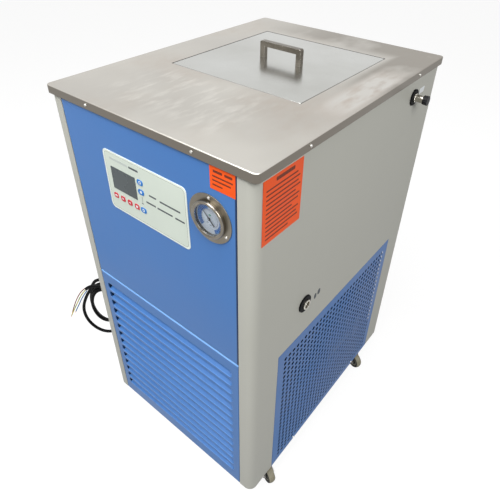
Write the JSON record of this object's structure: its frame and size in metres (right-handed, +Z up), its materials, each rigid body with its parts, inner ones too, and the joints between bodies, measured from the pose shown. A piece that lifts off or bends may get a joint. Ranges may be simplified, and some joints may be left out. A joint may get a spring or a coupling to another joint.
{
  "type": "recirculating chiller",
  "caption": "Upright low-temperature recirculating chiller on casters, with a lidded steel bath, blue louvred front, keypad, gauge and a perforated side grille.",
  "frame": {"origin": "on the floor, under the middle of the cabinet", "axes": "+X to the right along the blue front, +Y to the back, +Z up"},
  "size_m": [0.6406, 0.7054, 0.997],
  "materials": {
    "galvanised": "matt zinc",
    "grey_paint": "fine satin powder coat",
    "blue_paint": "fine satin powder coat",
    "stainless": "brushed",
    "stainless_bar": "satin",
    "foam": "matt",
    "copper": "drawn",
    "black_paint": "gloss enamel",
    "black_rubber": "matt",
    "aluminium_fins": "mill",
    "pump_paint": "satin",
    "black_plastic": "fine grain",
    "keypad_film": "satin film",
    "display_film": "gloss film",
    "red_key_film": "satin film",
    "blue_key_film": "satin film",
    "gauge_steel": "brushed",
    "polished_steel": "polished",
    "dial_paint": "satin",
    "pointer_paint": "satin",
    "gauge_glass": "clear",
    "screw_steel": "bright",
    "orange_vinyl": "satin film",
    "caster_steel": "plated",
    "wheel_tread": "matt",
    "cable_jacket": "satin",
    "core_jacket": "satin"
  },
  "bodies": {
    "cabinet": {"base_pan": "galvanised", "left_side_panel": "grey_paint", "right_side_panel": "grey_paint", "rear_panel": "grey_paint", "front_upper_panel": "blue_paint", "front_lower_panel": "blue_paint", "side_grille": "blue_paint", "top_plate": "stainless", "lid": "stainless", "lid_handle": "stainless_bar", "tank": "stainless", "tank_insulation": "foam", "evaporator_coil": "copper", "compressor": "black_paint", "compressor_grommets": "black_rubber", "condenser": "aluminium_fins", "fan_shroud": "galvanised", "fan_motor": "black_paint", "circulation_pump": "pump_paint", "outlet_pipe": "black_rubber", "drain_pipe": "black_rubber", "suction_pipe": "black_rubber", "control_housing": "black_plastic", "control_overlay": "keypad_film", "display_window": "display_film", "red_keys": "red_key_film", "blue_keys": "blue_key_film", "gauge_case": "gauge_steel", "gauge_bezel": "polished_steel", "gauge_dial": "dial_paint", "gauge_glass": "gauge_glass", "gauge_screws": "screw_steel", "outlet_washer": "black_rubber", "outlet_barrel": "polished_steel", "outlet_cap": "black_plastic", "drain_washer": "black_rubber", "drain_plug": "polished_steel", "flange_screws": "screw_steel", "grille_screws": "screw_steel", "front_sticker": "orange_vinyl", "side_sticker": "orange_vinyl", "caster_plates": "caster_steel", "cable_gland": "black_plastic", "cable_coil": "cable_jacket", "cable_lead": "cable_jacket", "cable_tail": "cable_jacket", "cable_cores": "core_jacket"},
    "swivel_front_left": {"caster_fork_front_left": "caster_steel"},
    "wheel_front_left": {"caster_wheel_front_left": "wheel_tread"},
    "swivel_front_right": {"caster_fork_front_right": "caster_steel"},
    "wheel_front_right": {"caster_wheel_front_right": "wheel_tread"},
    "swivel_rear_left": {"caster_fork_rear_left": "caster_steel"},
    "wheel_rear_left": {"caster_wheel_rear_left": "wheel_tread"},
    "swivel_rear_right": {"caster_fork_rear_right": "caster_steel"},
    "wheel_rear_right": {"caster_wheel_rear_right": "wheel_tread"},
    "fan": {"fan_blade": "aluminium_fins"},
    "pointer": {"gauge_pointer": "pointer_paint"}
  },
  "joints": [
    {"name": "swivel_front_left_turn", "type": "hinge", "parent": "cabinet", "child": "swivel_front_left", "pos_m": [-0.218, -0.238, 0.0601], "axis": [0, 0, 1], "continuous": true},
    {"name": "wheel_front_left_spin", "type": "hinge", "parent": "swivel_front_left", "child": "wheel_front_left", "pos_m": [-0.19827, -0.24518, 0.025], "axis": [0.342, 0.9397, 0], "continuous": true},
    {"name": "swivel_front_right_turn", "type": "hinge", "parent": "cabinet", "child": "swivel_front_right", "pos_m": [0.218, -0.238, 0.0601], "axis": [0, 0, 1], "continuous": true},
    {"name": "wheel_front_right_spin", "type": "hinge", "parent": "swivel_front_right", "child": "wheel_front_right", "pos_m": [0.23773, -0.24518, 0.025], "axis": [0.342, 0.9397, 0], "continuous": true},
    {"name": "swivel_rear_left_turn", "type": "hinge", "parent": "cabinet", "child": "swivel_rear_left", "pos_m": [-0.218, 0.212, 0.0601], "axis": [0, 0, 1], "continuous": true},
    {"name": "wheel_rear_left_spin", "type": "hinge", "parent": "swivel_rear_left", "child": "wheel_rear_left", "pos_m": [-0.19827, 0.20482, 0.025], "axis": [0.342, 0.9397, 0], "continuous": true},
    {"name": "swivel_rear_right_turn", "type": "hinge", "parent": "cabinet", "child": "swivel_rear_right", "pos_m": [0.218, 0.212, 0.0601], "axis": [0, 0, 1], "continuous": true},
    {"name": "wheel_rear_right_spin", "type": "hinge", "parent": "swivel_rear_right", "child": "wheel_rear_right", "pos_m": [0.23773, 0.20482, 0.025], "axis": [0.342, 0.9397, 0], "continuous": true},
    {"name": "fan_spin", "type": "hinge", "parent": "cabinet", "child": "fan", "pos_m": [0, -0.24, 0.258], "axis": [0, 1, 0], "continuous": true},
    {"name": "pointer_turn", "type": "hinge", "parent": "cabinet", "child": "pointer", "pos_m": [0.157, -0.3275, 0.847], "axis": [0, -1, 0], "range_deg": [-180, 90]}
  ]
}
